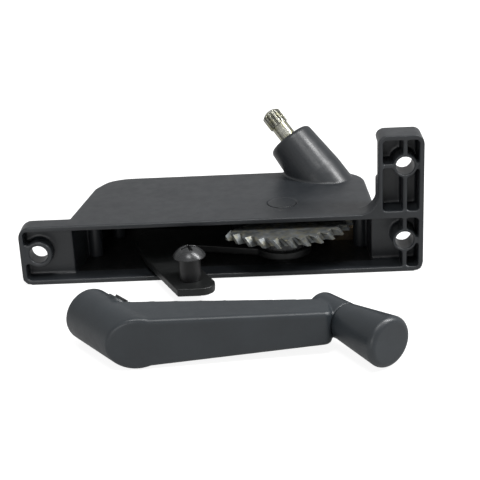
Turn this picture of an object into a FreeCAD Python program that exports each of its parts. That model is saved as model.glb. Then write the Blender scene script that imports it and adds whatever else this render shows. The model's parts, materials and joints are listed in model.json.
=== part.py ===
import FreeCAD, Part
import math
import os

# Awning-window operator with its loose crank handle.
#
# Millimetres.  X runs along the housing, with X = 0 on the arm's pivot axis.  Y = 0 is the mounting face, the
# open front of the housing, and +Y goes into the housing.  Z = 0 is the underside that the housing stands on.
#
# A right-hand worm on an inclined splined spindle turns a toothed sector.  Sector, spacer and arm are riveted
# into one swinging piece on a fixed pivot pin.  The arm carries a shoulder screw with a free sleeve that runs
# in the sash track.  The crank handle slides on the splined spindle and has a free-turning knob.

# ---- housing -------------------------------------------------------------------------------------------------
EAR_END_X = -108.3          # left end of the housing
EAR_LENGTH = 18.4           # left end to the gear case, along the mounting face
FLANGE_WIDTH = 18.4
FLANGE_LAP = 0.2            # the flange starts this far inside the case's right side
BODY_HEIGHT = 25.4          # underside to the top plate's face
FLANGE_HEIGHT = 58.1        # underside to the top of the flange
EAR_DEPTH = 8.6             # depth of the front frame left of the flange
FLANGE_DEPTH = 12.3         # depth of the flange
CASE_BACK_ROOM = 10.1       # worm's mid point to the back of the case
CASE_SIDE_ROOM = 6.95       # gear tips to the inside of the case's right wall
RIM_WALL = 2.0              # walls of the front frame and tray floors
CASE_WALL = 1.6             # side and back walls of the gear case
TOP_THICKNESS = 2.2         # top plate
CORNER_R = 3.5              # outer corners of the front frame
EAR_TOP_R = 5.0             # its upper left corner
FLANGE_ROOT_R = 8.0         # inside corner between flange and top plate
TOP_EDGE_R = 1.6            # rounding of the top plate's edge
RIB_THICKNESS = 1.8         # stiffening ribs in the flange
RIB_SETBACK = 0.5           # ribs stop this far behind the mounting face
RELIEF = 0.8                # the flange's left side leans in by this much above RELIEF_Z
RELIEF_Z = 38.0

# ---- mounting holes ------------------------------------------------------------------------------------------
MOUNT_HOLE_R = 3.73
EAR_BOSS_R = 5.6
FLANGE_BOSS_R = 4.9
EAR_HOLE_INSET = 7.5        # from the left end
EAR_HOLE_Z = 13.1
FLANGE_HOLE_INSET = 7.5     # from the flange's end
FLANGE_HOLE_LOW_Z = 13.4
FLANGE_HOLE_PITCH = 31.9
COUNTERBORE_R = 6.4         # screw-head recess behind each flange hole
COUNTERBORE_DEPTH = 1.2

# ---- arm pivot -----------------------------------------------------------------------------------------------
PIVOT_Y = 18.0
PIVOT_PIN_R = 2.6
PIVOT_HEAD_R = 5.85
PIVOT_HEAD_H = 1.3
HEAD_RING_GAP = 0.15        # ring gap around the flush pin head
RUNNING_GAP = 0.05          # radial clearance of every turning fit
END_GAP = 0.1               # axial clearance of every turning fit
PIVOT_WASHER_R = 4.4

# ---- base plate ----------------------------------------------------------------------------------------------
BASE_THICKNESS = 1.6
BASE_GAP = 0.15             # edge clearance of the base plate inside the case walls
PILLAR_R = 3.0
SIDE_PILLAR_Y = 26.0
SCREW_R = 1.25
SCREW_HEAD_R = 2.6
SCREW_HEAD_H = 1.2
SCREW_LENGTH = 9.0

# ---- worm gearing --------------------------------------------------------------------------------------------
GEAR_TEETH = 31             # on the full circle
GEAR_PITCH_R = 28.75
WORM_PITCH_R = 8.7
SHAFT_ANGLE = 45.0          # between the spindle and the pivot axis
MESH_ANGLE = 54.0           # direction of the worm from the pivot, from +X towards +Y
GEAR_MID_Z = 18.75
GEAR_THICKNESS = 3.5
ADDENDUM = 1.2              # tooth tip above pitch circle, worm and gear alike
TIP_CLEARANCE = 0.25        # radial gap between a tip and the root it faces
BACKLASH = 0.5              # taken half off the worm thread and half off the gear tooth
PRESSURE_ANGLE = 20.0
SECTOR_START = 80.0         # the toothed part runs clockwise from here ...
SECTOR_END = 217.8 - 360.0  # ... to here, seen from above with angles from +X
SECTOR_HUB_R = 13.0
WORM_LENGTH = 16.0
WORM_BORE_GAP = 0.4         # worm tips to the housing's bore

# ---- spindle and its boss ------------------------------------------------------------------------------------
BOSS_BASE_R = 11.7
BOSS_END_R = 10.2
BOSS_LENGTH = 20.5          # from the top plate's face to the end, along the axis
BOSS_EDGE_R = 2.0
BUSH_R = 5.6
SHAFT_R = 3.75
SHAFT_REACH = 36.0          # from the top plate's face to the spindle's tip, along the axis
SPLINE_LENGTH = 8.0
SPLINE_R = 4.35
SPLINE_DEPTH = 0.65
SPLINE_COUNT = 14
THRUST_WASHER_R = 7.5
JOURNAL_LENGTH = 6.0        # below the worm
BLOCK_WALL = 4.2            # bearing block material around the journal

# ---- arm -----------------------------------------------------------------------------------------------------
ARM_UNDERSIDE_Z = 4.2
ARM_THICKNESS = 3.1
ARM_WIDTH = 16.1
ARM_HUB_R = 12.0
STUD = (-37.8, -15.9)       # stud axis with the arm as shipped
ARM_ELBOW = (-56.9, 32.3)   # corners of the arm's centre line, from the pivot to the front edge
ARM_KNEE = (-50.0, 9.4)
ARM_TIP = (-33.7, -26.1)
ARM_ELBOW_R = 13.0          # roundings of the arm's outline
ARM_INNER_R = 4.0
ARM_KNEE_R = 40.0
ARM_TIP_R = 6.8
SPACER_R = 10.0
RIVET_CIRCLE_R = 7.3
RIVET_R = 1.5
RIVET_HEAD_R = 2.4
RIVET_HEAD_H = 0.9
RIVET_COUNT = 3

# ---- stud ----------------------------------------------------------------------------------------------------
SLEEVE_R = 4.35
SLEEVE_HEIGHT = 10.0
STUD_SHANK_R = 2.9
STUD_HEAD_R = 6.6
STUD_HEAD_H = 3.9
RECESS_WIDTH = 1.5          # cross recess in the stud's head
RECESS_SPAN = 6.4
RECESS_DEPTH = 2.2

# ---- crank handle, lying on its side in front of the housing -------------------------------------------------
HANDLE_AXIS_ANGLE = -52.0   # direction from the socket's mouth to the hub's face, and of the knob
HANDLE_MID_Z = 10.0         # height of the hub's and the knob's axes
HUB_R = 9.9
HUB_MOUTH = (-74.1, -50.2)  # centre of the socket's mouth
FACE_POINT = (-57.7, -78.0) # point on the crank's flat outer face
FACE_ANGLE = 5.6            # its direction
BAR_BACK_POINT = (-57.7, -61.5)
BAR_BACK_ANGLE = 2.3
BAR_END_X = 15.0
BAR_END_HEIGHT = 12.8
BAR_END_R = 3.0             # upright rounding where the outer face meets the elbow
BAR_EDGE_R = 1.6
HUB_RIM_R = 1.0
KNOB_END = (34.4, -83.4)    # centre of the knob's end face
KNOB_LENGTH = 23.5
KNOB_NECK_R = 6.9
KNOB_R = 9.75
KNOB_EDGE_R = 2.2
KNOB_ROOM = 0.5             # clear all round the neck where it meets the crank
ELBOW_BOSS_R = 7.0
ELBOW_BOSS_LENGTH = 15.0
ELBOW_BOSS_EDGE_R = 3.0
SOCKET_DEPTH = 22.0
SOCKET_LEAD_LENGTH = 6.0
SOCKET_LEAD_R = 4.55
INSERT_R = 6.6
SPLINE_FIT_GAP = 0.12
KNOB_PIN_R = 2.5
KNOB_PIN_HEAD_R = 3.6
KNOB_PIN_HEAD_H = 2.0
KNOB_PIN_REACH = 15.0
KNOB_PIN_ROOT = 9.0         # pressed into the elbow boss
SET_SCREW_R = 2.5
SET_SCREW_PAD_R = 4.8
SET_SCREW_PAD_H = 0.5
SET_SCREW_FROM_MOUTH = 13.0
SET_SCREW_ANGLE = 49.0      # above the horizontal, on the housing's side of the hub
SET_SCREW_PROUD = 0.9       # end above the pad

# ---- worked out from the sizes above -------------------------------------------------------------------------
CENTRE_DISTANCE = GEAR_PITCH_R + WORM_PITCH_R
WORM_TIP_R = WORM_PITCH_R + ADDENDUM
WORM_ROOT_R = WORM_PITCH_R - ADDENDUM - TIP_CLEARANCE
GEAR_TIP_R = GEAR_PITCH_R + ADDENDUM
GEAR_ROOT_R = GEAR_PITCH_R - ADDENDUM - TIP_CLEARANCE
CASE_LEFT_X = EAR_END_X + EAR_LENGTH
CASE_RIGHT_X = GEAR_TIP_R + CASE_SIDE_ROOM + CASE_WALL
FLANGE_LEFT_X = CASE_RIGHT_X - FLANGE_LAP
FLANGE_END_X = FLANGE_LEFT_X + FLANGE_WIDTH
FLANGE_HOLE_X = FLANGE_END_X - FLANGE_HOLE_INSET
EAR_HOLE_X = EAR_END_X + EAR_HOLE_INSET
INNER_TOP_Z = BODY_HEIGHT - TOP_THICKNESS
ARM_TOP_Z = ARM_UNDERSIDE_Z + ARM_THICKNESS
GEAR_BOTTOM_Z = GEAR_MID_Z - GEAR_THICKNESS / 2
GEAR_TOP_Z = GEAR_MID_Z + GEAR_THICKNESS / 2
FAR = 400.0                 # reach of the tools used only for cutting


def vec(x, y, z=0.0):
    return FreeCAD.Vector(x, y, z)


def polar(radius, degrees, z=0.0):
    return vec(radius * math.cos(math.radians(degrees)), radius * math.sin(math.radians(degrees)), z)


def box(x0, x1, y0, y1, z0, z1):
    return Part.makeBox(x1 - x0, y1 - y0, z1 - z0, vec(x0, y0, z0))


def union(shapes):
    """One solid from shapes that touch, with the seams between coplanar faces removed."""
    return shapes[0].multiFuse(shapes[1:]).removeSplitter()


def rounded_edges(corners):
    """Straight runs joined by arcs, from (point, radius) corners of a closed outline.

    A corner's radius is limited so that its arc takes less than half of either run beside it.
    """
    count = len(corners)
    joints = []
    for i, (point, radius) in enumerate(corners):
        to_last = (corners[i - 1][0] - point).normalize()
        to_next = (corners[(i + 1) % count][0] - point).normalize()
        half = to_last.getAngle(to_next) / 2
        shortest = min(point.distanceToPoint(corners[k][0]) for k in (i - 1, (i + 1) % count))
        reach = min(radius / math.tan(half), 0.49 * shortest)
        radius = reach * math.tan(half)
        start = point + to_last * reach
        end = point + to_next * reach
        bisector = (to_last + to_next).normalize()
        middle = point + bisector * (radius / math.sin(half) - radius)
        joints.append((start, middle, end, radius))
    edges = []
    for i, (start, middle, end, radius) in enumerate(joints):
        if radius > 0:
            edges.append(Part.Arc(start, middle, end).toShape())
        following = joints[(i + 1) % count][0]
        if end.distanceToPoint(following) > 1e-6:
            edges.append(Part.LineSegment(end, following).toShape())
    return edges


def prism(corners, direction):
    return Part.Face(Part.Wire(rounded_edges(corners))).extrude(direction)


def front_prism(corners, y0, y1):
    """Extrudes an outline of (x, z, radius) corners along Y."""
    return prism([(vec(x, y0, z), r) for x, z, r in corners], vec(0, y1 - y0, 0))


def rectangle(x0, x1, z0, z1, r):
    return [(x0, z0, r), (x1, z0, r), (x1, z1, r), (x0, z1, r)]


# ---- frames of the inclined spindle and of the handle --------------------------------------------------------
MESH_OUT = polar(1, MESH_ANGLE)                       # from the pivot to the worm
MESH_SIDE = polar(1, MESH_ANGLE + 90)
SPINDLE_DIR = (MESH_SIDE * math.sin(math.radians(SHAFT_ANGLE))
               + vec(0, 0, math.cos(math.radians(SHAFT_ANGLE))))
MESH_POINT = vec(0, PIVOT_Y, GEAR_MID_Z) + MESH_OUT * CENTRE_DISTANCE
# Mesh point to the top plate's face, along the spindle.
TOP_ALONG = (BODY_HEIGHT - GEAR_MID_Z) / SPINDLE_DIR.z
CASE_BACK_Y = MESH_POINT.y + CASE_BACK_ROOM

HANDLE_DIR = polar(1, HANDLE_AXIS_ANGLE)
HANDLE_SIDE = polar(1, HANDLE_AXIS_ANGLE + 90)


def placed(shape, origin, x_dir, z_dir):
    """Moves a shape made about the local Z axis so that its X and Z axes point along the given directions."""
    y_dir = z_dir.cross(x_dir)
    matrix = FreeCAD.Matrix(x_dir.x, y_dir.x, z_dir.x, origin.x,
                            x_dir.y, y_dir.y, z_dir.y, origin.y,
                            x_dir.z, y_dir.z, z_dir.z, origin.z,
                            0, 0, 0, 1)
    moved = shape.copy()
    moved.Placement = FreeCAD.Placement(matrix)
    return moved


def on_spindle(shape):
    """Local Z is the distance along the spindle from the mesh point; local X points at the pivot."""
    return placed(shape, MESH_POINT, MESH_OUT * -1, SPINDLE_DIR)


def on_hub(shape):
    """Local Z is the depth from the socket's mouth; local X is the level direction away from the knob."""
    return placed(shape, vec(*HUB_MOUTH, HANDLE_MID_Z), HANDLE_SIDE, HANDLE_DIR)


def on_knob(shape):
    """Local Z is the distance from the knob's end face along the handle's direction, so the knob is below 0."""
    return placed(shape, vec(*KNOB_END, HANDLE_MID_Z), HANDLE_SIDE, HANDLE_DIR)


def cylinder(radius, z0, z1, x=0.0, y=0.0):
    return Part.makeCylinder(radius, z1 - z0, vec(x, y, z0))


def tube(outer, inner, z0, z1, x=0.0, y=0.0):
    return cylinder(outer, z0, z1, x, y).cut(cylinder(inner, z0 - 1, z1 + 1, x, y))


# ---- housing -------------------------------------------------------------------------------------------------
def case_outline(inset):
    """Plan of the gear case, inset from its outside; it runs past the mounting face to be trimmed."""
    left_front = vec(CASE_LEFT_X, 0)
    left_back = vec(CASE_LEFT_X + 7.9, CASE_BACK_Y - 13.0)
    left_corner = vec(CASE_LEFT_X + 12.6, CASE_BACK_Y - 4.2)
    back_left = vec(CASE_LEFT_X + 20.0, CASE_BACK_Y - 0.6)
    back_right = vec(CASE_RIGHT_X - 30.5, CASE_BACK_Y)
    right_back = vec(CASE_RIGHT_X - 1.9, CASE_BACK_Y - 5.4)
    right_front = vec(CASE_RIGHT_X, 0)
    corners = [(left_front, 0), (left_back, 8.0), (left_corner, 10.0), (back_left, 20.0), (back_right, 20.0),
               (right_back, 12.0), (right_front, 0)]
    outline = Part.Wire(rounded_edges(corners))
    return outline if inset == 0 else outline.makeOffset2D(-inset)


def case_prism(inset, z0, z1):
    wire = case_outline(inset)
    wire.translate(vec(0, 0, z0))
    return Part.Face(wire).extrude(vec(0, 0, z1 - z0))


def frame_profile(inset, radius):
    x0, x1 = EAR_END_X + inset, FLANGE_END_X - inset
    return [(x0, inset, radius), (x1, inset, radius), (x1, FLANGE_HEIGHT - inset, radius),
            (FLANGE_LEFT_X + inset, FLANGE_HEIGHT - inset, radius),
            (FLANGE_LEFT_X + inset, BODY_HEIGHT - inset, FLANGE_ROOT_R), (x0, BODY_HEIGHT - inset, EAR_TOP_R)]


def front_frame():
    frame = front_prism(frame_profile(0, CORNER_R), 0, FLANGE_DEPTH)
    relief = [(vec(FLANGE_LEFT_X, 0, RELIEF_Z), 0), (vec(FLANGE_LEFT_X + RELIEF, FLANGE_DEPTH, RELIEF_Z), 0),
              (vec(FLANGE_LEFT_X - 1, FLANGE_DEPTH, RELIEF_Z), 0), (vec(FLANGE_LEFT_X - 1, 0, RELIEF_Z), 0)]
    return frame.cut([box(EAR_END_X - 1, FLANGE_LEFT_X, EAR_DEPTH, FLANGE_DEPTH + 1, -1, FLANGE_HEIGHT),
                      prism(relief, vec(0, 0, FLANGE_HEIGHT - CORNER_R - RELIEF_Z))])


def case_body():
    body = case_prism(0, 0, BODY_HEIGHT).common(box(-FAR, FAR, EAR_DEPTH / 2, FAR, -1, FAR))
    top_edges = [e for e in body.Edges
                 if e.BoundBox.ZMin > BODY_HEIGHT - 0.01 and e.BoundBox.YMax > EAR_DEPTH / 2 + 0.01]
    return body.makeFillet(TOP_EDGE_R, top_edges)


def spindle_boss():
    """Tapered boss, carried down past the worm as a plain cylinder that stands out behind the case."""
    cone = Part.makeCone(BOSS_BASE_R, BOSS_END_R, BOSS_LENGTH, vec(0, 0, TOP_ALONG))
    rim = [e for e in cone.Edges if e.BoundBox.ZMin > TOP_ALONG + BOSS_LENGTH - 0.01]
    cone = cone.makeFillet(BOSS_EDGE_R, rim)
    root = cylinder(BOSS_BASE_R, -WORM_LENGTH / 2 - 1, TOP_ALONG)
    return on_spindle(cone.fuse(root))


def pillar_places():
    """Against the case's left side, its left back corner, its back and its right side."""
    return [(CASE_LEFT_X + 9.3, SIDE_PILLAR_Y), (CASE_LEFT_X + 16.9, CASE_BACK_Y - 11.2),
            (CASE_LEFT_X + 69.9, CASE_BACK_Y - 5.8), (CASE_RIGHT_X - 5.3, SIDE_PILLAR_Y)]


def gear_case():
    outside = union([front_frame(), case_body(), spindle_boss()])
    tray_back = FLANGE_DEPTH - RIM_WALL
    ear_tray = rectangle(EAR_END_X + RIM_WALL, FLANGE_LEFT_X, RIM_WALL, INNER_TOP_Z, 1.2)
    low_tray = rectangle(FLANGE_LEFT_X - 6, FLANGE_END_X - RIM_WALL, RIM_WALL, INNER_TOP_Z, 1.2)
    high_tray = rectangle(FLANGE_LEFT_X + RIM_WALL, FLANGE_END_X - RIM_WALL,
                          BODY_HEIGHT + RIM_WALL / 2, FLANGE_HEIGHT - RIM_WALL, 1.2)
    inner = case_prism(CASE_WALL, -1, INNER_TOP_Z)
    mouth = inner.common(box(-FAR, FAR, -1, FAR, RIM_WALL, INNER_TOP_Z))
    cavity = inner.common(box(-FAR, FAR, EAR_DEPTH, FAR, -1, INNER_TOP_Z))
    worm_room = on_spindle(cylinder(WORM_TIP_R + WORM_BORE_GAP, -WORM_LENGTH / 2 - 1, TOP_ALONG))
    shell = outside.cut([front_prism(ear_tray, -1, EAR_DEPTH - RIM_WALL),
                         front_prism(low_tray, -1, tray_back), front_prism(high_tray, -1, tray_back),
                         mouth, cavity, worm_room])

    ribs = []
    ribs.append(box(EAR_END_X + RIM_WALL / 2, EAR_HOLE_X, RIB_SETBACK, EAR_DEPTH - RIM_WALL / 2,
                    EAR_HOLE_Z - EAR_BOSS_R * 0.75, EAR_HOLE_Z + EAR_BOSS_R * 0.75))
    upright = (FLANGE_HOLE_X - RIB_THICKNESS / 2, FLANGE_HOLE_X + RIB_THICKNESS / 2)
    ribs.append(box(*upright, RIB_SETBACK, tray_back + 0.5, RIM_WALL / 2, FLANGE_HEIGHT - RIM_WALL / 2))
    high_z = FLANGE_HOLE_LOW_Z + FLANGE_HOLE_PITCH
    ribs.append(box(FLANGE_LEFT_X + RIM_WALL / 2, FLANGE_HOLE_X, RIB_SETBACK, tray_back + 0.5,
                    high_z - RIB_THICKNESS / 2, high_z + RIB_THICKNESS / 2))
    bosses = [Part.makeCylinder(radius, depth - RIM_WALL / 2 - RIB_SETBACK, vec(x, RIB_SETBACK, z),
                                vec(0, 1, 0)) for x, z, depth, radius in mount_holes()]
    pillars = [cylinder(PILLAR_R, BASE_THICKNESS, INNER_TOP_Z + TOP_THICKNESS / 2, x, y)
               for x, y in pillar_places()]
    pillars = [p.common(case_prism(CASE_WALL / 2, 0, BODY_HEIGHT)) for p in pillars]
    case = union([shell] + ribs + bosses + pillars)

    cuts = [Part.makeCylinder(MOUNT_HOLE_R, FAR, vec(x, -1, z), vec(0, 1, 0)) for x, z, _, _ in mount_holes()]
    cuts += [Part.makeCylinder(COUNTERBORE_R, FAR, vec(x, depth - COUNTERBORE_DEPTH, z), vec(0, 1, 0))
             for x, z, depth, _ in mount_holes()[1:]]
    cuts += [cylinder(SCREW_R, 0, BASE_THICKNESS + SCREW_LENGTH, x, y) for x, y in pillar_places()]
    cuts.append(cylinder(PIVOT_PIN_R, 0, FAR, 0, PIVOT_Y))
    cuts.append(cylinder(PIVOT_HEAD_R + HEAD_RING_GAP, BODY_HEIGHT - PIVOT_HEAD_H, FAR, 0, PIVOT_Y))
    cuts.append(on_spindle(cylinder(BUSH_R, 0, FAR)))
    return case.cut(cuts)


def mount_holes():
    """(x, z, depth of the wall behind, boss radius) of the ear's hole and the flange's two."""
    return [(EAR_HOLE_X, EAR_HOLE_Z, EAR_DEPTH, EAR_BOSS_R),
            (FLANGE_HOLE_X, FLANGE_HOLE_LOW_Z, FLANGE_DEPTH, FLANGE_BOSS_R),
            (FLANGE_HOLE_X, FLANGE_HOLE_LOW_Z + FLANGE_HOLE_PITCH, FLANGE_DEPTH, FLANGE_BOSS_R)]


# ---- base plate and its screws -------------------------------------------------------------------------------
def countersunk_screw(length):
    """Countersunk screw with its head's face at Z = 0, standing up."""
    head = Part.makeCone(SCREW_HEAD_R, SCREW_R, SCREW_HEAD_H)
    slot = box(-FAR, FAR, -0.35, 0.35, -1, 0.6)
    return head.fuse(cylinder(SCREW_R, 0, length)).removeSplitter().cut(slot)


def block_screw_places():
    return [(MESH_POINT.x + 2.0, MESH_POINT.y - 13.1), (MESH_POINT.x + 9.0, MESH_POINT.y - 13.1)]


def base_plate():
    plate = case_prism(CASE_WALL + BASE_GAP, 0, BASE_THICKNESS)
    plate = plate.common(box(-FAR, FAR, EAR_DEPTH + BASE_GAP, FAR, 0, FAR))
    heads = [Part.makeCone(SCREW_HEAD_R, SCREW_R, SCREW_HEAD_H, vec(x, y, 0))
             for x, y in pillar_places() + block_screw_places()]
    holes = [cylinder(SCREW_R, 0, FAR, x, y) for x, y in pillar_places() + block_screw_places()]
    pin_hole = cylinder(PIVOT_PIN_R, -1, FAR, 0, PIVOT_Y)
    return plate.cut(heads + holes + [pin_hole])


def screws(places, length):
    group = []
    for x, y in places:
        screw = countersunk_screw(length)
        screw.translate(vec(x, y, 0))
        group.append(screw)
    return Part.makeCompound(group)


# ---- pivot ---------------------------------------------------------------------------------------------------
def pivot_pin():
    shank = cylinder(PIVOT_PIN_R, 0, BODY_HEIGHT, 0, PIVOT_Y)
    head = cylinder(PIVOT_HEAD_R, BODY_HEIGHT - PIVOT_HEAD_H, BODY_HEIGHT, 0, PIVOT_Y)
    return union([shank, head])


def pivot_washers():
    """A washer under the arm's hub and one over the sector."""
    low = tube(PIVOT_WASHER_R, PIVOT_PIN_R, BASE_THICKNESS, ARM_UNDERSIDE_Z - END_GAP, 0, PIVOT_Y)
    high = tube(PIVOT_WASHER_R, PIVOT_PIN_R, GEAR_TOP_Z + END_GAP, INNER_TOP_Z, 0, PIVOT_Y)
    return Part.makeCompound([low, high])


# ---- worm, spindle and bearings ------------------------------------------------------------------------------
def gear_lead():
    """Axial advance of the worm in one turn, for one gear tooth, and the gear's tooth slant in radians."""
    pitch = 2 * math.pi * GEAR_PITCH_R / GEAR_TEETH
    lead_angle = 0.0
    for _ in range(20):
        slant = math.radians(SHAFT_ANGLE) - lead_angle
        lead = pitch * math.cos(slant) / math.cos(lead_angle)
        lead_angle = math.atan(lead / (2 * math.pi * WORM_PITCH_R))
    return lead, slant


def worm():
    lead, _ = gear_lead()
    half = WORM_LENGTH / 2
    turns = math.ceil(WORM_LENGTH / lead) + 2
    slope = math.tan(math.radians(PRESSURE_ANGLE))
    mean_half = lead / 4 - BACKLASH / 4
    sunk = WORM_ROOT_R - 0.4
    wide = mean_half + (WORM_PITCH_R - sunk) * slope
    narrow = mean_half - ADDENDUM * slope
    start = -(math.ceil(turns / 2) + 0.5) * lead
    profile = Part.makePolygon([vec(sunk, 0, start - wide), vec(WORM_TIP_R, 0, start - narrow),
                                vec(WORM_TIP_R, 0, start + narrow), vec(sunk, 0, start + wide),
                                vec(sunk, 0, start - wide)])
    helix = Part.makeHelix(lead, (turns + 1) * lead, WORM_PITCH_R)
    helix.translate(vec(0, 0, start))
    thread = Part.Wire(helix).makePipeShell([profile], True, True)
    trimmed = thread.common(cylinder(WORM_TIP_R + 1, -half, half))
    core = cylinder(WORM_ROOT_R, -half, half)
    return on_spindle(core.fuse(trimmed).cut(cylinder(SHAFT_R, -FAR, FAR)))


def splined(outer, depth, z0, z1, gap=0.0):
    """Prism of the spline's section, grown by gap for the part that slides over it."""
    points = []
    step = 360.0 / SPLINE_COUNT
    for i in range(SPLINE_COUNT):
        for share, radius in ((-0.40, outer - depth), (-0.20, outer), (0.20, outer), (0.40, outer - depth)):
            points.append(polar(radius + gap, (i + share) * step, z0))
    return Part.Face(Part.makePolygon(points + points[:1])).extrude(vec(0, 0, z1 - z0))


def tip_z():
    return TOP_ALONG + SHAFT_REACH


def spindle_shaft():
    half = WORM_LENGTH / 2
    shank = cylinder(SHAFT_R, -half - JOURNAL_LENGTH, tip_z() - SPLINE_LENGTH / 2)
    spline = splined(SPLINE_R, SPLINE_DEPTH, tip_z() - SPLINE_LENGTH, tip_z())
    dome_r = SPLINE_R * 1.35
    dome = Part.makeSphere(dome_r, vec(0, 0, tip_z() - dome_r))
    head = spline.common(dome.fuse(cylinder(SPLINE_R + 1, 0, tip_z() - dome_r / 2)))
    return on_spindle(shank.fuse(head))


def spindle_thrust_washer():
    """Fills the room between the worm's upper end and the bush, but for the end clearance."""
    return on_spindle(tube(THRUST_WASHER_R, SHAFT_R, WORM_LENGTH / 2, TOP_ALONG - END_GAP))


def spindle_bush():
    return on_spindle(tube(BUSH_R, SHAFT_R + RUNNING_GAP, TOP_ALONG, TOP_ALONG + BOSS_LENGTH))


def lower_bearing():
    """Pillow block on the base plate; its sloping face carries the worm's lower end."""
    half = WORM_LENGTH / 2
    journal_end = -half - JOURNAL_LENGTH - END_GAP
    room = case_prism(CASE_WALL + BASE_GAP, BASE_THICKNESS, FAR)
    foot = box(MESH_POINT.x - 1.5, FAR, MESH_POINT.y - 16.0, MESH_POINT.y + 2.0, BASE_THICKNESS, FAR)
    under_worm = on_spindle(box(-FAR, FAR, -FAR, FAR, -FAR, -half - END_GAP))
    around = on_spindle(cylinder(SHAFT_R + BLOCK_WALL, -FAR / 5, FAR / 5))
    low = box(-FAR, FAR, -FAR, FAR, 0, BASE_THICKNESS + 5.0)
    block = room.common(foot).common(under_worm).common(around.fuse(low))
    journal = on_spindle(cylinder(SHAFT_R + RUNNING_GAP, journal_end, 0))
    holes = [cylinder(SCREW_R, 0, BASE_THICKNESS + 3.5, x, y) for x, y in block_screw_places()]
    return block.cut([journal] + holes)


# ---- swinging arm --------------------------------------------------------------------------------------------
def gear_outline(z, turn):
    """Full circle of straight-sided teeth, with one tooth centred on the worm, turned by some degrees."""
    _, slant = gear_lead()
    step = 360.0 / GEAR_TEETH
    tooth = math.pi * GEAR_PITCH_R / GEAR_TEETH - BACKLASH / 2
    slope = math.tan(math.radians(PRESSURE_ANGLE)) / math.cos(slant)
    tip_half = tooth / 2 - ADDENDUM * slope
    root_half = tooth / 2 + (ADDENDUM + TIP_CLEARANCE) * slope
    points = []
    for i in range(GEAR_TEETH):
        middle = MESH_ANGLE + i * step + turn
        for side, radius, width in ((-1, GEAR_ROOT_R, root_half), (-1, GEAR_TIP_R, tip_half),
                                    (1, GEAR_TIP_R, tip_half), (1, GEAR_ROOT_R, root_half)):
            points.append(polar(radius, middle + side * math.degrees(width / radius), z) + vec(0, PIVOT_Y))
    return points


def ruled_solid(low, high):
    """Solid between two level polygons, each corner joined to the one with the same number."""
    faces = [Part.Face(Part.makePolygon(ring + ring[:1])) for ring in (low, high)]
    for i in range(len(low)):
        below = Part.LineSegment(low[i - 1], low[i]).toShape()
        above = Part.LineSegment(high[i - 1], high[i]).toShape()
        faces.append(Part.makeRuledSurface(below, above))
    shell = Part.makeShell(faces)
    shell.sewShape()
    solid = Part.makeSolid(shell)
    return solid if solid.Volume > 0 else solid.reversed()


def gear_sector():
    _, slant = gear_lead()
    twist = math.degrees(GEAR_THICKNESS / 2 * math.tan(slant) / GEAR_PITCH_R)
    rim = ruled_solid(gear_outline(GEAR_BOTTOM_Z, twist), gear_outline(GEAR_TOP_Z, -twist))
    start = polar(FAR, SECTOR_START) + vec(0, PIVOT_Y)
    side = polar(FAR, SECTOR_START + 60) + vec(0, PIVOT_Y)
    other = polar(FAR, SECTOR_END - 40) + vec(0, PIVOT_Y)
    end = polar(FAR, SECTOR_END) + vec(0, PIVOT_Y)
    centre = vec(0, PIVOT_Y)
    gap = Part.Face(Part.makePolygon([centre, start, side, other, end, centre])).extrude(vec(0, 0, FAR))
    hub = cylinder(SECTOR_HUB_R, GEAR_BOTTOM_Z, GEAR_TOP_Z, 0, PIVOT_Y)
    gear = rim.cut(gap).fuse(hub).removeSplitter()
    return gear.cut(hub_holes())


def rivet_places():
    return [polar(RIVET_CIRCLE_R, 30 + i * 360.0 / RIVET_COUNT) + vec(0, PIVOT_Y) for i in range(RIVET_COUNT)]


def hub_holes():
    holes = [cylinder(RIVET_R, 0, FAR, p.x, p.y) for p in rivet_places()]
    return holes + [cylinder(PIVOT_PIN_R + RUNNING_GAP, 0, FAR, 0, PIVOT_Y)]


def hub_spacer():
    return cylinder(SPACER_R, ARM_TOP_Z, GEAR_BOTTOM_Z, 0, PIVOT_Y).cut(hub_holes())


def hub_rivets():
    group = []
    for p in rivet_places():
        shank = cylinder(RIVET_R, ARM_UNDERSIDE_Z, GEAR_TOP_Z, p.x, p.y)
        low = cylinder(RIVET_HEAD_R, ARM_UNDERSIDE_Z - RIVET_HEAD_H, ARM_UNDERSIDE_Z, p.x, p.y)
        high = cylinder(RIVET_HEAD_R, GEAR_TOP_Z, GEAR_TOP_Z + RIVET_HEAD_H, p.x, p.y)
        group.append(union([shank, low, high]))
    return Part.makeCompound(group)


def crossing(p, p_dir, q, q_dir):
    """Where two lines in plan meet."""
    across = p_dir.x * q_dir.y - p_dir.y * q_dir.x
    along = ((q.x - p.x) * q_dir.y - (q.y - p.y) * q_dir.x) / across
    return p + p_dir * along


def offset_line(points, distance):
    """Corners of an open line moved sideways, to its left for a positive distance."""
    runs = [(b - a).normalize() for a, b in zip(points, points[1:])]
    moved = [a + vec(-run.y, run.x) * distance for a, run in zip(points, runs)]
    corners = [crossing(moved[i], runs[i], moved[i + 1], runs[i + 1]) for i in range(len(runs) - 1)]
    return moved[0], corners, (moved[-1], runs[-1])


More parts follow.
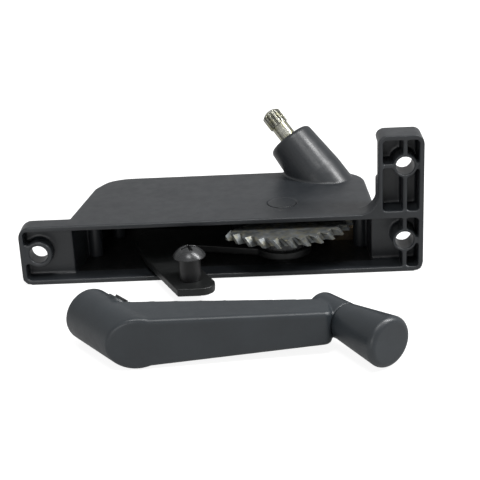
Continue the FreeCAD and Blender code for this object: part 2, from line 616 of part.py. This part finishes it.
def arm_link():
    """Flat hooked bar: from the hub back to the elbow, then forward past the stud to a straight front edge."""
    line = [vec(0, PIVOT_Y), vec(*ARM_ELBOW), vec(*ARM_KNEE), vec(*ARM_TIP)]
    hub_near, (elbow_in, knee_in), (near, near_run) = offset_line(line, ARM_WIDTH / 2)
    hub_far, (elbow_out, knee_out), (far, far_run) = offset_line(line, -ARM_WIDTH / 2)
    front_near = crossing(near, near_run, line[-1], vec(1, 0))
    front_far = crossing(far, far_run, line[-1], vec(1, 0))
    outline = [(hub_near, 0), (elbow_in, ARM_INNER_R), (knee_in, ARM_KNEE_R), (front_near, ARM_TIP_R),
               (front_far, 0), (knee_out, ARM_KNEE_R), (elbow_out, ARM_ELBOW_R), (hub_far, 0)]
    bar = prism([(p + vec(0, 0, ARM_UNDERSIDE_Z), r) for p, r in outline], vec(0, 0, ARM_THICKNESS))
    disc = cylinder(ARM_HUB_R, ARM_UNDERSIDE_Z, ARM_TOP_Z, 0, PIVOT_Y)
    stud_hole = cylinder(STUD_SHANK_R, 0, FAR, *STUD)
    return union([bar, disc]).cut(hub_holes() + [stud_hole])


def stud_screw():
    """Pan-head shoulder screw with a cross recess, peened under the arm."""
    under_head = ARM_TOP_Z + SLEEVE_HEIGHT
    shank = cylinder(STUD_SHANK_R, ARM_UNDERSIDE_Z, under_head, *STUD)
    ball_r = (STUD_HEAD_R ** 2 + STUD_HEAD_H ** 2) / (2 * STUD_HEAD_H)
    ball = Part.makeSphere(ball_r, vec(*STUD, under_head + STUD_HEAD_H - ball_r))
    head = ball.common(cylinder(STUD_HEAD_R, under_head, under_head + FAR, *STUD))
    recess = []
    for turn in (20, 110):
        slot = box(-RECESS_SPAN / 2, RECESS_SPAN / 2, -RECESS_WIDTH / 2, RECESS_WIDTH / 2,
                   under_head + STUD_HEAD_H - RECESS_DEPTH, FAR)
        slot.rotate(vec(0, 0, 0), vec(0, 0, 1), turn)
        slot.translate(vec(*STUD))
        recess.append(slot)
    return union([shank, head]).cut(recess)


def stud_sleeve():
    return tube(SLEEVE_R, STUD_SHANK_R + RUNNING_GAP, ARM_TOP_Z + END_GAP,
                ARM_TOP_Z + SLEEVE_HEIGHT - END_GAP, *STUD)


# ---- crank handle --------------------------------------------------------------------------------------------
def crank_bar():
    """Tapered bar from the hub's axis to the elbow, its front on the flat outer face."""
    axis = (vec(*HUB_MOUTH), HANDLE_DIR)
    face = (vec(*FACE_POINT), polar(1, FACE_ANGLE))
    back = (vec(*BAR_BACK_POINT), polar(1, BAR_BACK_ANGLE))
    end = (vec(BAR_END_X, 0), vec(0, 1))
    plan = [crossing(*axis, *face), crossing(*face, *end), crossing(*back, *end), crossing(*axis, *back)]
    start_x = plan[3].x
    start_half = HUB_R - 0.1
    side = [(vec(start_x, -FAR / 2, HANDLE_MID_Z - start_half), 0),
            (vec(BAR_END_X, -FAR / 2, HANDLE_MID_Z - BAR_END_HEIGHT / 2), 0),
            (vec(BAR_END_X, -FAR / 2, HANDLE_MID_Z + BAR_END_HEIGHT / 2), 0),
            (vec(start_x, -FAR / 2, HANDLE_MID_Z + start_half), 0)]
    rounding = (0, BAR_END_R, 0, 0)
    return prism(list(zip(plan, rounding)), vec(0, 0, FAR)).common(prism(side, vec(0, FAR, 0)))


def outer_face_tool():
    """Everything in front of the crank's flat outer face."""
    along = polar(1, FACE_ANGLE)
    away = vec(along.y, -along.x) * FAR
    start = vec(*FACE_POINT, -FAR) - along * FAR
    end = start + along * 2 * FAR
    return prism([(start, 0), (end, 0), (end + away, 0), (start + away, 0)], vec(0, 0, 2 * FAR))


def on_outer_face(edge):
    normal = polar(1, FACE_ANGLE - 90)
    return all(abs((v.Point - vec(*FACE_POINT)).dot(normal)) < 0.01 for v in edge.Vertexes) \
        and abs((edge.CenterOfMass - vec(*FACE_POINT)).dot(normal)) < 0.01


def set_screw_frame(shape):
    """Local Z points out of the hub along the set screw, from the hub's axis."""
    rise = math.radians(SET_SCREW_ANGLE)
    out = HANDLE_SIDE * math.cos(rise) + vec(0, 0, math.sin(rise))
    origin = vec(*HUB_MOUTH, HANDLE_MID_Z) + HANDLE_DIR * SET_SCREW_FROM_MOUTH
    return placed(shape, origin, HANDLE_DIR, out)


def crank_arm():
    hub = cylinder(HUB_R, 0, FAR)
    hub = hub.makeFillet(HUB_RIM_R, [e for e in hub.Edges if e.BoundBox.ZMax < 0.01])
    body = union([on_hub(hub).cut(outer_face_tool()), crank_bar()])
    body = body.makeFillet(BAR_EDGE_R, [e for e in body.Edges if on_outer_face(e)])
    boss_start = -KNOB_LENGTH - END_GAP - ELBOW_BOSS_LENGTH
    boss = cylinder(ELBOW_BOSS_R, boss_start, -KNOB_LENGTH - END_GAP)
    back_edge = [e for e in boss.Edges if e.BoundBox.ZMax < boss_start + 0.01]
    boss = on_knob(boss.makeFillet(ELBOW_BOSS_EDGE_R, back_edge))
    pad = set_screw_frame(cylinder(SET_SCREW_PAD_R, 0, HUB_R + SET_SCREW_PAD_H))
    body = union([body, boss, pad])
    socket = on_hub(cylinder(INSERT_R, -FAR, SOCKET_DEPTH))
    pin_hole = on_knob(cylinder(KNOB_PIN_R, -KNOB_LENGTH - END_GAP - KNOB_PIN_ROOT, FAR))
    screw_hole = set_screw_frame(cylinder(SET_SCREW_R, 0, FAR))
    knob_room = on_knob(cylinder(KNOB_NECK_R + KNOB_ROOM, -KNOB_LENGTH - END_GAP, FAR))
    return body.cut([socket, pin_hole, screw_hole, knob_room])


def spline_insert():
    """Sleeve pressed into the hub: a plain lead-in, then splines that fit over the spindle's."""
    body = cylinder(INSERT_R, 0, SOCKET_DEPTH)
    lead_in = cylinder(SOCKET_LEAD_R, -1, SOCKET_LEAD_LENGTH)
    splines = splined(SPLINE_R, SPLINE_DEPTH, SOCKET_LEAD_LENGTH - 1, SOCKET_DEPTH - 3, SPLINE_FIT_GAP)
    screw_hole = set_screw_frame(cylinder(SET_SCREW_R, 0, FAR))
    return on_hub(body.cut([lead_in, splines])).cut(screw_hole)


def set_screw():
    """Headless screw through hub and insert, with a hexagon socket."""
    tip = SPLINE_R + SPLINE_FIT_GAP + 0.6
    top = HUB_R + SET_SCREW_PAD_H + SET_SCREW_PROUD
    hexagon = Part.makePolygon([polar(1.3, i * 60, top - 2.0) for i in range(7)])
    socket = Part.Face(hexagon).extrude(vec(0, 0, 3))
    return set_screw_frame(cylinder(SET_SCREW_R, tip, top).cut(socket))


def knob_pin():
    root = -KNOB_LENGTH - END_GAP - KNOB_PIN_ROOT
    end = -KNOB_LENGTH + KNOB_PIN_REACH
    shank = cylinder(KNOB_PIN_R, root, end)
    head = cylinder(KNOB_PIN_HEAD_R, end - KNOB_PIN_HEAD_H, end)
    return on_knob(union([shank, head]))


def knob():
    body = Part.makeCone(KNOB_NECK_R, KNOB_R, KNOB_LENGTH, vec(0, 0, -KNOB_LENGTH))
    end_edge = [e for e in body.Edges if e.BoundBox.ZMin > -0.01]
    neck_edge = [e for e in body.Edges if e.BoundBox.ZMax < -KNOB_LENGTH + 0.01]
    body = body.makeFillet(KNOB_EDGE_R, end_edge).makeFillet(0.6, neck_edge)
    reach = -KNOB_LENGTH + KNOB_PIN_REACH
    bore = cylinder(KNOB_PIN_R + RUNNING_GAP, -FAR, reach)
    groove = cylinder(KNOB_PIN_HEAD_R + 0.3, reach - KNOB_PIN_HEAD_H - END_GAP, reach + END_GAP)
    return on_knob(body.cut([bore, groove]))


NODES = {
    "gear_case": gear_case,
    "base_plate": base_plate,
    "base_plate_screws": lambda: screws(pillar_places(), BASE_THICKNESS + SCREW_LENGTH - 1),
    "bearing_screws": lambda: screws(block_screw_places(), BASE_THICKNESS + 3.0),
    "pivot_pin": pivot_pin,
    "pivot_washers": pivot_washers,
    "lower_bearing": lower_bearing,
    "spindle_bush": spindle_bush,
    "spindle_thrust_washer": spindle_thrust_washer,
    "spindle_shaft": spindle_shaft,
    "worm": worm,
    "gear_sector": gear_sector,
    "hub_spacer": hub_spacer,
    "arm_link": arm_link,
    "hub_rivets": hub_rivets,
    "stud_screw": stud_screw,
    "stud_sleeve": stud_sleeve,
    "crank_arm": crank_arm,
    "spline_insert": spline_insert,
    "set_screw": set_screw,
    "knob_pin": knob_pin,
    "knob": knob,
}


def main():
    os.makedirs("parts", exist_ok=True)
    for name, make in NODES.items():
        shape = make()
        assert shape.isValid(), name
        print(f"{name}: {len(shape.Solids)} solid(s), {shape.Volume:.1f} mm3")
        shape.exportStep(f"parts/{name}.step")


main()
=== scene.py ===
import json

import bmesh
import bpy
from mathutils import Matrix, Vector

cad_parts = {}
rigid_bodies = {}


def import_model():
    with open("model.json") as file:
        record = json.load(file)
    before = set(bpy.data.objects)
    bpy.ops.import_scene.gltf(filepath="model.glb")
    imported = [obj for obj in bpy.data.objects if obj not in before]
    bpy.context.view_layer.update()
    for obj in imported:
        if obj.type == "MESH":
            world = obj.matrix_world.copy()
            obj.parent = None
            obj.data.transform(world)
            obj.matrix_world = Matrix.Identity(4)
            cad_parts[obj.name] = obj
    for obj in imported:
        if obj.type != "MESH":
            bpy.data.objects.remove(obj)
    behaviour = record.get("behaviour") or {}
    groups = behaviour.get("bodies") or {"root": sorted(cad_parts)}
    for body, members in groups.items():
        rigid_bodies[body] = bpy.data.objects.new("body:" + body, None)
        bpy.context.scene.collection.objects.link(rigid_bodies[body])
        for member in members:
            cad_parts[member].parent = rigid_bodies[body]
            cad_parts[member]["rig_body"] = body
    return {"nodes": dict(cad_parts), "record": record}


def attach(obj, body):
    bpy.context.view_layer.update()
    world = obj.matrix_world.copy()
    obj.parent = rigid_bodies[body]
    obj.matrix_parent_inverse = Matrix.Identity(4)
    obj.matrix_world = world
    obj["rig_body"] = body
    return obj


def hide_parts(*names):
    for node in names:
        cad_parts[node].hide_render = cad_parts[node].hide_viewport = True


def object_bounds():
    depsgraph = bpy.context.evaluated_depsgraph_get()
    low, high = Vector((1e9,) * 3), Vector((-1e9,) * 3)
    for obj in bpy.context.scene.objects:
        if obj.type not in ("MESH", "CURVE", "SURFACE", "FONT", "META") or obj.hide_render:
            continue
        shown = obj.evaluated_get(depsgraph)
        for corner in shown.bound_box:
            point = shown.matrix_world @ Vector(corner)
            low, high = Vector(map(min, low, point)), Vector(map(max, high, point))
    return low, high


# Awning-window operator with its loose crank handle.  Metres: X along the housing, Y from the mounting face
# into the housing, Z up.

MM = 0.001

# ---- camera --------------------------------------------------------------------------------------------
CAMERA_PLACE = Vector((-7.26, -447.2, 198.1)) * MM
CAMERA_FORWARD = Vector((-0.02189, 0.92636, -0.37600))
CAMERA_UP = Vector((0.03810, 0.37659, 0.92559))
CAMERA_LENS = 88.94
CAMERA_SENSOR = 36.0

# ---- stage ---------------------------------------------------------------------------------------------
WHITE = (1.0, 1.0, 1.0, 1.0)
FLOOR_SIZE = 12.0
FLOOR_DROP = 0.2 * MM               # floor below the lowest point of the object
FLOOR_COLOUR = (0.30, 0.30, 0.30, 1.0)
FLOOR_SEEN = 0.88                   # glow of the pale floor as the camera sees it ...
FLOOR_CAST = 0.25                   # ... and as it lights the object
SKY_SEEN = 1.0                      # the same two for the sky
SKY_CAST = 0.50
LAMP_AIM = Vector((0.0, 0.0, 0.03))
STRIP_AIM = Vector((0.0, 0.04, 0.05))

# ---- finishes ------------------------------------------------------------------------------------------
EDGE_SOFTNESS = 0.55 * MM           # radius that shading gives to the edges of painted and coated pieces
NOISE_ROUGHNESS = 0.6
PLATED_SOFTNESS = 0.2 * MM
PLASTIC_SOFTNESS = 0.25 * MM
WORN_PAINT = (0.09, 0.095, 0.10, 1.0)
WORN_STEEL = (0.12, 0.12, 0.12, 1.0)
# painted shade: dark colour that ambient occlusion mixes into the hollows of plated metal
PAINTED_SHADE = (0.008, 0.008, 0.009, 1.0)
PAINTED_SHADE_REACH = 1.6 * MM              # how near a facing wall brings on the painted shade in hollows
SPECK_GAIN = 1.8                    # paint specks, brighter than the paint by this much
STEEL_GRAIN = (300.0, 2400.0, 600.0)

# ---- cast skins ----------------------------------------------------------------------------------------
WELD = 0.002 * MM                   # corners of the CAD mesh this close are one
RELAX_STEP = 0.5


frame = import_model()
cad_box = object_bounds()


# ---- node helpers --------------------------------------------------------------------------------------
def seen_or_cast(tree, seen, cast):
    """A strength that is one number for what is seen directly and another for the light it gives."""
    path = tree.nodes.new("ShaderNodeLightPath")
    made = tree.nodes.new("ShaderNodeMapRange")
    made.inputs["To Min"].default_value = cast
    made.inputs["To Max"].default_value = seen
    tree.links.new(path.outputs["Is Camera Ray"], made.inputs["Value"])
    return made.outputs["Result"]


class Shader:
    """A material's node tree, with short calls for the nodes that the finishes below share."""

    def __init__(self, name):
        self.material = bpy.data.materials.new(name)
        self.material.use_nodes = True
        self.tree = self.material.node_tree
        self.surface = self.tree.nodes["Principled BSDF"]
        self.place = self.node("ShaderNodeTexCoord").outputs["Object"]

    def node(self, kind, **settings):
        made = self.tree.nodes.new(kind)
        for key, value in settings.items():
            setattr(made, key, value)
        return made

    def feed(self, socket, value):
        """Links an output to a socket, or sets the socket's own value."""
        if isinstance(value, bpy.types.NodeSocket):
            self.tree.links.new(value, socket)
        else:
            socket.default_value = value

    def noise(self, scale, detail, place=None):
        """Grey noise whose features are about 1/scale metres across."""
        made = self.node("ShaderNodeTexNoise")
        self.feed(made.inputs["Vector"], place or self.place)
        made.inputs["Scale"].default_value = scale
        made.inputs["Detail"].default_value = detail
        made.inputs["Roughness"].default_value = NOISE_ROUGHNESS
        return made.outputs["Fac"]

    def stretched(self, scale):
        """Object coordinates scaled by a different factor along each axis."""
        made = self.node("ShaderNodeMapping")
        self.feed(made.inputs["Vector"], self.place)
        made.inputs["Scale"].default_value = scale
        return made.outputs["Vector"]

    def remap(self, value, low, high, to_low, to_high):
        """Value from low..high spread over to_low..to_high."""
        made = self.node("ShaderNodeMapRange")
        self.feed(made.inputs["Value"], value)
        for name, number in (("From Min", low), ("From Max", high), ("To Min", to_low), ("To Max", to_high)):
            made.inputs[name].default_value = number
        return made.outputs["Result"]

    def ramp(self, value, *stops):
        """Colour ramp from (position, colour) stops."""
        made = self.node("ShaderNodeValToRGB")
        self.feed(made.inputs["Fac"], value)
        elements = made.color_ramp.elements
        while len(elements) < len(stops):
            elements.new(0.5)
        for element, (position, colour) in zip(elements, stops):
            element.position = position
            element.color = (*colour, 1.0)
        return made.outputs["Color"]

    def mix(self, share, first, second):
        made = self.node("ShaderNodeMix", data_type="RGBA")
        self.feed(made.inputs["Factor"], share)
        self.feed(made.inputs["A"], first)
        self.feed(made.inputs["B"], second)
        return made.outputs["Result"]

    def add(self, first, second, operation="ADD"):
        made = self.node("ShaderNodeMath", operation=operation)
        self.feed(made.inputs[0], first)
        self.feed(made.inputs[1], second)
        return made.outputs["Value"]

    def times(self, first, second):
        return self.add(first, second, "MULTIPLY")

    def bump(self, height, distance, strength, soften=EDGE_SOFTNESS):
        """Height in 0..1 over a distance in metres, on edges that look rounded by soften."""
        rounded = self.node("ShaderNodeBevel", samples=6)
        rounded.inputs["Radius"].default_value = soften
        made = self.node("ShaderNodeBump")
        made.inputs["Distance"].default_value = distance
        made.inputs["Strength"].default_value = strength
        self.feed(made.inputs["Height"], height)
        self.feed(made.inputs["Normal"], rounded.outputs["Normal"])
        self.feed(self.surface.inputs["Normal"], made.outputs["Normal"])

    def edge_wear(self, low, high):
        """1 on convex edges, 0 on flats, broken up by noise."""
        pointed = self.node("ShaderNodeNewGeometry").outputs["Pointiness"]
        sharp = self.remap(pointed, low, high, 0.0, 1.0)
        return self.times(sharp, self.remap(self.noise(900.0, 2.0), 0.45, 0.65, 0.0, 1.0))


def painted_casting(name, dark, light, roughness):
    """Satin dark paint on a die casting: orange peel, faint mottling and slightly brighter worn edges."""
    s = Shader(name)
    cloud = s.noise(55.0, 4.0)
    colour = s.ramp(cloud, (0.32, dark), (0.70, light))
    speck = s.remap(s.noise(2600.0, 2.0), 0.60, 0.75, 0.0, 0.25)
    colour = s.mix(speck, colour, (*[c * SPECK_GAIN for c in light], 1.0))
    wear = s.edge_wear(0.56, 0.70)
    colour = s.mix(s.times(wear, 0.12), colour, WORN_PAINT)
    s.feed(s.surface.inputs["Base Color"], colour)
    rough = s.remap(s.noise(210.0, 5.0), 0.3, 0.7, roughness - 0.05, roughness + 0.07)
    s.feed(s.surface.inputs["Roughness"], rough)
    peel = s.add(s.times(s.noise(1100.0, 2.0), 0.7), s.times(s.noise(4200.0, 2.0), 0.3))
    s.bump(peel, 0.05 * MM, 0.55)
    return s.material


def coated_steel(name, dark, light, roughness):
    """Black-coated steel: a fine grain, lighter clouds, and edges rubbed slightly brighter."""
    s = Shader(name)
    colour = s.ramp(s.noise(120.0, 5.0), (0.35, dark), (0.68, light))
    wear = s.edge_wear(0.54, 0.66)
    colour = s.mix(s.times(wear, 0.3), colour, WORN_STEEL)
    s.feed(s.surface.inputs["Base Color"], colour)
    s.surface.inputs["Metallic"].default_value = 0.35
    scratches = s.noise(1.0, 3.0, place=s.stretched(STEEL_GRAIN))
    rough = s.remap(scratches, 0.3, 0.7, roughness - 0.06, roughness + 0.10)
    s.feed(s.surface.inputs["Roughness"], rough)
    s.bump(scratches, 0.03 * MM, 0.5)
    return s.material


def plated_steel(name, dull, bright, tint, roughness, painted_shade=0.0):
    """Plated or bare metal: tinted patches, a faint grain, and a share of painted shade darkening the
    hollows.
    """
    s = Shader(name)
    colour = s.ramp(s.noise(260.0, 5.0), (0.30, dull), (0.72, bright))
    patches = s.remap(s.noise(420.0, 3.0), 0.45, 0.65, 0.0, 0.8)
    colour = s.mix(patches, colour, (*tint, 1.0))
    # painted shade: the colour darkens where ambient occlusion finds nearby walls, by the share painted_shade
    reach = s.node("ShaderNodeAmbientOcclusion", samples=8)
    reach.inputs["Distance"].default_value = PAINTED_SHADE_REACH
    hollow = s.remap(reach.outputs["AO"], 0.35, 0.85, painted_shade, 0.0)
    colour = s.mix(hollow, colour, PAINTED_SHADE)
    s.feed(s.surface.inputs["Base Color"], colour)
    s.surface.inputs["Metallic"].default_value = 0.9
    rough = s.remap(s.noise(900.0, 4.0), 0.3, 0.7, roughness - 0.08, roughness + 0.12)
    s.feed(s.surface.inputs["Roughness"], rough)
    grain = s.add(s.noise(3000.0, 3.0), s.noise(700.0, 3.0))
    s.bump(grain, 0.04 * MM, 0.6, soften=PLATED_SOFTNESS)
    return s.material


def black_plastic(name, colour, roughness):
    """Moulded black plastic with a fine matt grain."""
    s = Shader(name)
    tone = s.ramp(s.noise(180.0, 3.0), (0.3, colour), (0.7, tuple(c * 1.5 for c in colour)))
    s.feed(s.surface.inputs["Base Color"], tone)
    rough = s.remap(s.noise(1500.0, 2.0), 0.3, 0.7, roughness - 0.05, roughness + 0.08)
    s.feed(s.surface.inputs["Roughness"], rough)
    s.bump(s.noise(3200.0, 2.0), 0.03 * MM, 0.5, soften=PLASTIC_SOFTNESS)
    return s.material


SLOTS = {entry["node"]: entry["material_slot"] for entry in frame["record"]["subparts"]}

FINISHES = {
    "case_paint": painted_casting("case_paint", (0.0120, 0.0140, 0.0165), (0.0190, 0.0215, 0.0245), 0.35),
    "crank_paint": painted_casting("crank_paint", (0.0150, 0.0185, 0.0220), (0.0210, 0.0260, 0.0305), 0.37),
    "arm_steel": coated_steel("arm_steel", (0.010, 0.011, 0.011), (0.017, 0.018, 0.018), 0.36),
    "zinc_steel": plated_steel("zinc_steel", (0.07, 0.08, 0.085), (0.24, 0.25, 0.25),
                               (0.20, 0.19, 0.14), 0.50, painted_shade=1.0),
    "base_steel": coated_steel("base_steel", (0.010, 0.010, 0.011), (0.020, 0.020, 0.021), 0.45),
    "dark_steel": coated_steel("dark_steel", (0.024, 0.025, 0.026), (0.045, 0.046, 0.048), 0.26),
    "bearing_bronze": plated_steel("bearing_bronze", (0.05, 0.04, 0.03), (0.13, 0.10, 0.07),
                                   (0.09, 0.07, 0.04), 0.40),
    "sleeve_plastic": black_plastic("sleeve_plastic", (0.0040, 0.0042, 0.0046), 0.40),
}

# Nodes that the photograph shows with a finish of their own, or that get a darker finish as painted shade, to
# stay quiet in the dark mouth.
SPECIAL = {
    "spindle_shaft": plated_steel("spindle_zinc", (0.13, 0.13, 0.11), (0.56, 0.56, 0.50),
                                  (0.36, 0.35, 0.22), 0.24, painted_shade=1.0),
    "pivot_washers": plated_steel("washer_zinc", (0.30, 0.32, 0.34), (0.60, 0.62, 0.64),
                                  (0.50, 0.50, 0.46), 0.30),
    # hub_spacer and pivot_pin: these darker finishes are painted shade for the dark mouth
    "hub_spacer": FINISHES["dark_steel"],
    "pivot_pin": FINISHES["case_paint"],
}


def finish_of(node):
    """The node's own finish where it has one, or else that of its material slot."""
    return SPECIAL.get(node, FINISHES[SLOTS[node]])


def finish_cad_nodes():
    """Every CAD node is finished, the replaced ones too."""
    for node in SLOTS:
        mesh = frame["nodes"][node].data
        mesh.materials.clear()
        mesh.materials.append(finish_of(node))


# ---- cast pieces ---------------------------------------------------------------------------------------
def soft_cast(node, voxel, rounds, keep):
    """Replaces a CAD node by a closed skin of it whose edges are rounded like a die casting's.

    voxel is the skin's mesh size in metres, rounds how often it is relaxed, and keep the share of faces kept.
    """
    source = frame["nodes"][node]
    mesh = source.data.copy()
    welded = bmesh.new()
    welded.from_mesh(mesh)
    bmesh.ops.remove_doubles(welded, verts=welded.verts, dist=WELD)
    welded.to_mesh(mesh)
    welded.free()
    rough = bpy.data.objects.new(node + "_rough", mesh)
    bpy.context.scene.collection.objects.link(rough)
    skin = rough.modifiers.new("skin", "REMESH")
    skin.mode = "VOXEL"
    skin.voxel_size = voxel
    relax = rough.modifiers.new("relax", "SMOOTH")
    relax.factor = RELAX_STEP
    relax.iterations = rounds
    thin = rough.modifiers.new("thin", "DECIMATE")
    thin.ratio = keep
    evaluated = rough.evaluated_get(bpy.context.evaluated_depsgraph_get())
    smooth = bpy.data.meshes.new_from_object(evaluated)
    bpy.data.objects.remove(rough)
    smooth.polygons.foreach_set("use_smooth", [True] * len(smooth.polygons))
    piece = bpy.data.objects.new(node + "_casting", smooth)
    bpy.context.scene.collection.objects.link(piece)
    smooth.materials.clear()
    smooth.materials.append(finish_of(node))
    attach(piece, source["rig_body"])
    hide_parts(node)


# ---- camera, floor and light ---------------------------------------------------------------------------
def make_camera():
    """At the photograph's angle."""
    right = CAMERA_FORWARD.cross(CAMERA_UP).normalized()
    back = -CAMERA_FORWARD.normalized()
    up = back.cross(right)
    data = bpy.data.cameras.new("camera")
    data.lens = CAMERA_LENS
    data.sensor_width = CAMERA_SENSOR
    data.clip_start = 0.01
    camera = bpy.data.objects.new("camera", data)
    turn = Matrix((right, up, back)).transposed().to_4x4()
    camera.matrix_world = Matrix.Translation(CAMERA_PLACE) @ turn
    bpy.context.scene.collection.objects.link(camera)
    bpy.context.scene.camera = camera


def make_floor():
    """A pale floor that looks nearly white but lights the object only a little."""
    half = FLOOR_SIZE / 2
    mesh = bpy.data.meshes.new("floor")
    corners = [(-half, -half, 0), (half, -half, 0), (half, half, 0), (-half, half, 0)]
    mesh.from_pydata(corners, [], [(0, 1, 2, 3)])
    floor = bpy.data.objects.new("floor", mesh)
    floor.location.z = cad_box[0][2] - FLOOR_DROP
    bpy.context.scene.collection.objects.link(floor)
    s = Shader("floor")
    s.surface.inputs["Base Color"].default_value = FLOOR_COLOUR
    s.surface.inputs["Roughness"].default_value = 0.8
    s.surface.inputs["Specular IOR Level"].default_value = 0.0
    s.surface.inputs["Emission Color"].default_value = WHITE
    s.feed(s.surface.inputs["Emission Strength"], seen_or_cast(s.tree, FLOOR_SEEN, FLOOR_CAST))
    mesh.materials.append(s.material)


def soft_light(name, place, aim, width, height, watts):
    """Rectangular lamp at a place, facing the point aim."""
    data = bpy.data.lights.new(name, "AREA")
    data.shape = "RECTANGLE"
    data.size = width
    data.size_y = height
    data.energy = watts
    light = bpy.data.objects.new(name, data)
    light.location = place
    light.rotation_euler = (aim - Vector(place)).to_track_quat("-Z", "Y").to_euler()
    bpy.context.scene.collection.objects.link(light)


def make_lights():
    """A white sky that lights softly, a lamp overhead, a strip on the right and a weak fill in front."""
    world = bpy.data.worlds.new("studio")
    world.use_nodes = True
    tree = world.node_tree
    background = tree.nodes["Background"]
    background.inputs["Color"].default_value = WHITE
    tree.links.new(seen_or_cast(tree, SKY_SEEN, SKY_CAST), background.inputs["Strength"])
    bpy.context.scene.world = world
    soft_light("overhead", (-0.05, -0.36, 0.88), LAMP_AIM, 0.30, 0.16, 3.0)
    soft_light("right_strip", (0.66, -0.08, 0.83), STRIP_AIM, 0.05, 0.9, 14.0)
    soft_light("front_fill", (-0.35, -1.1, 0.10), LAMP_AIM, 0.5, 0.5, 2.5)
    bpy.context.scene.view_settings.view_transform = "Standard"


finish_cad_nodes()
soft_cast("crank_arm", 0.36 * MM, 7, 0.35)
soft_cast("gear_case", 0.42 * MM, 3, 0.30)
soft_cast("arm_link", 0.30 * MM, 3, 0.35)
make_camera()
make_floor()
make_lights()
